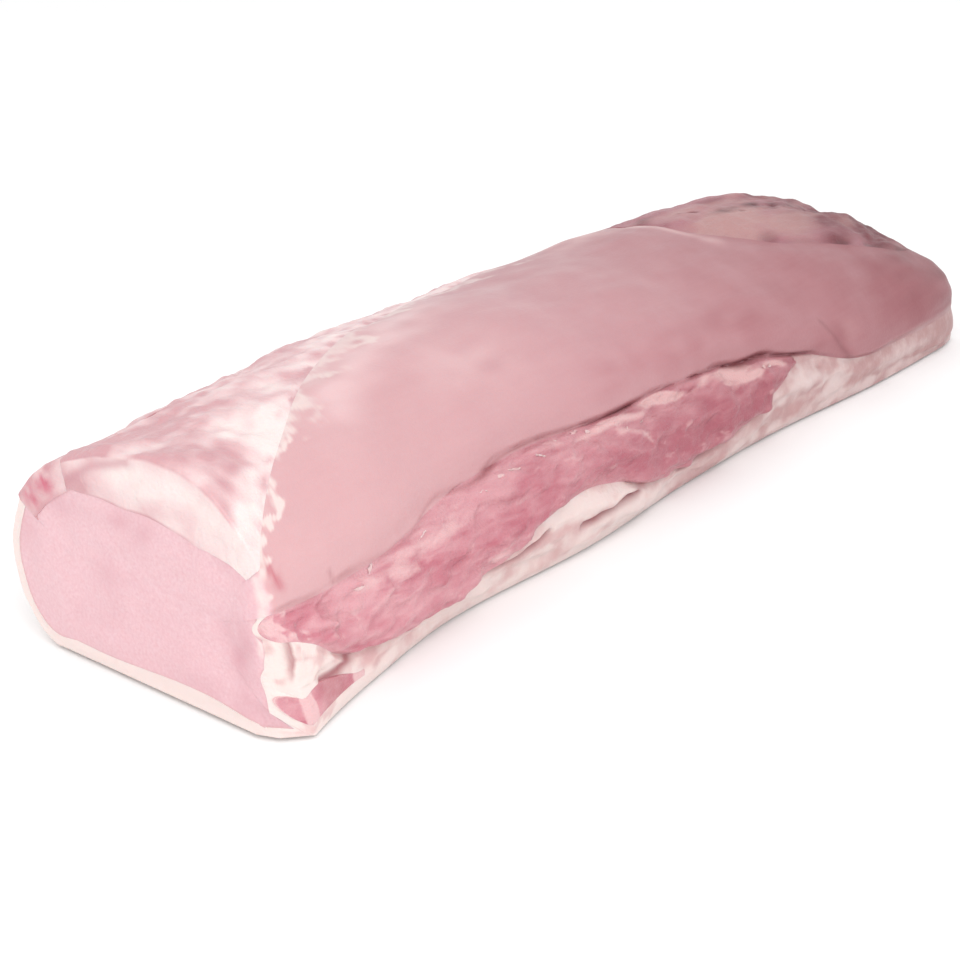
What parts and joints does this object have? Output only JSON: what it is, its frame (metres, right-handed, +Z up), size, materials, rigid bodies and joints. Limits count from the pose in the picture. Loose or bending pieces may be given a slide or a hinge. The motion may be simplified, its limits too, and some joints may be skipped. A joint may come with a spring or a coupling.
{
  "type": "boneless pork loin",
  "caption": "Raw boneless pork loin lying on its fat side: a long domed muscle with a side muscle, layers of fat and a square cut face at one end.",
  "frame": {"origin": "centre of the underside, on the surface the loin lies on", "axes": "+X along the loin away from the shown cut face, +Y towards its plain back side, +Z up"},
  "size_m": [0.482, 0.1444, 0.0835],
  "materials": {
    "lean_pink": "moist raw lean, thin silverskin",
    "lean_red": "moist raw lean, coarse",
    "back_fat": "waxy fat",
    "cover_fat": "waxy fat, pink tinged",
    "flank_lean": "moist raw lean",
    "flap_lean": "sinewy raw lean, half dry",
    "corner_lean": "moist raw lean"
  },
  "bodies": {
    "root": {"eye_muscle": "lean_pink", "chain_muscle": "lean_red", "fat_cap": "back_fat", "top_fat": "cover_fat", "flank_muscle": "flank_lean", "end_flap": "flap_lean", "corner_muscle": "corner_lean"}
  },
  "joints": []
}
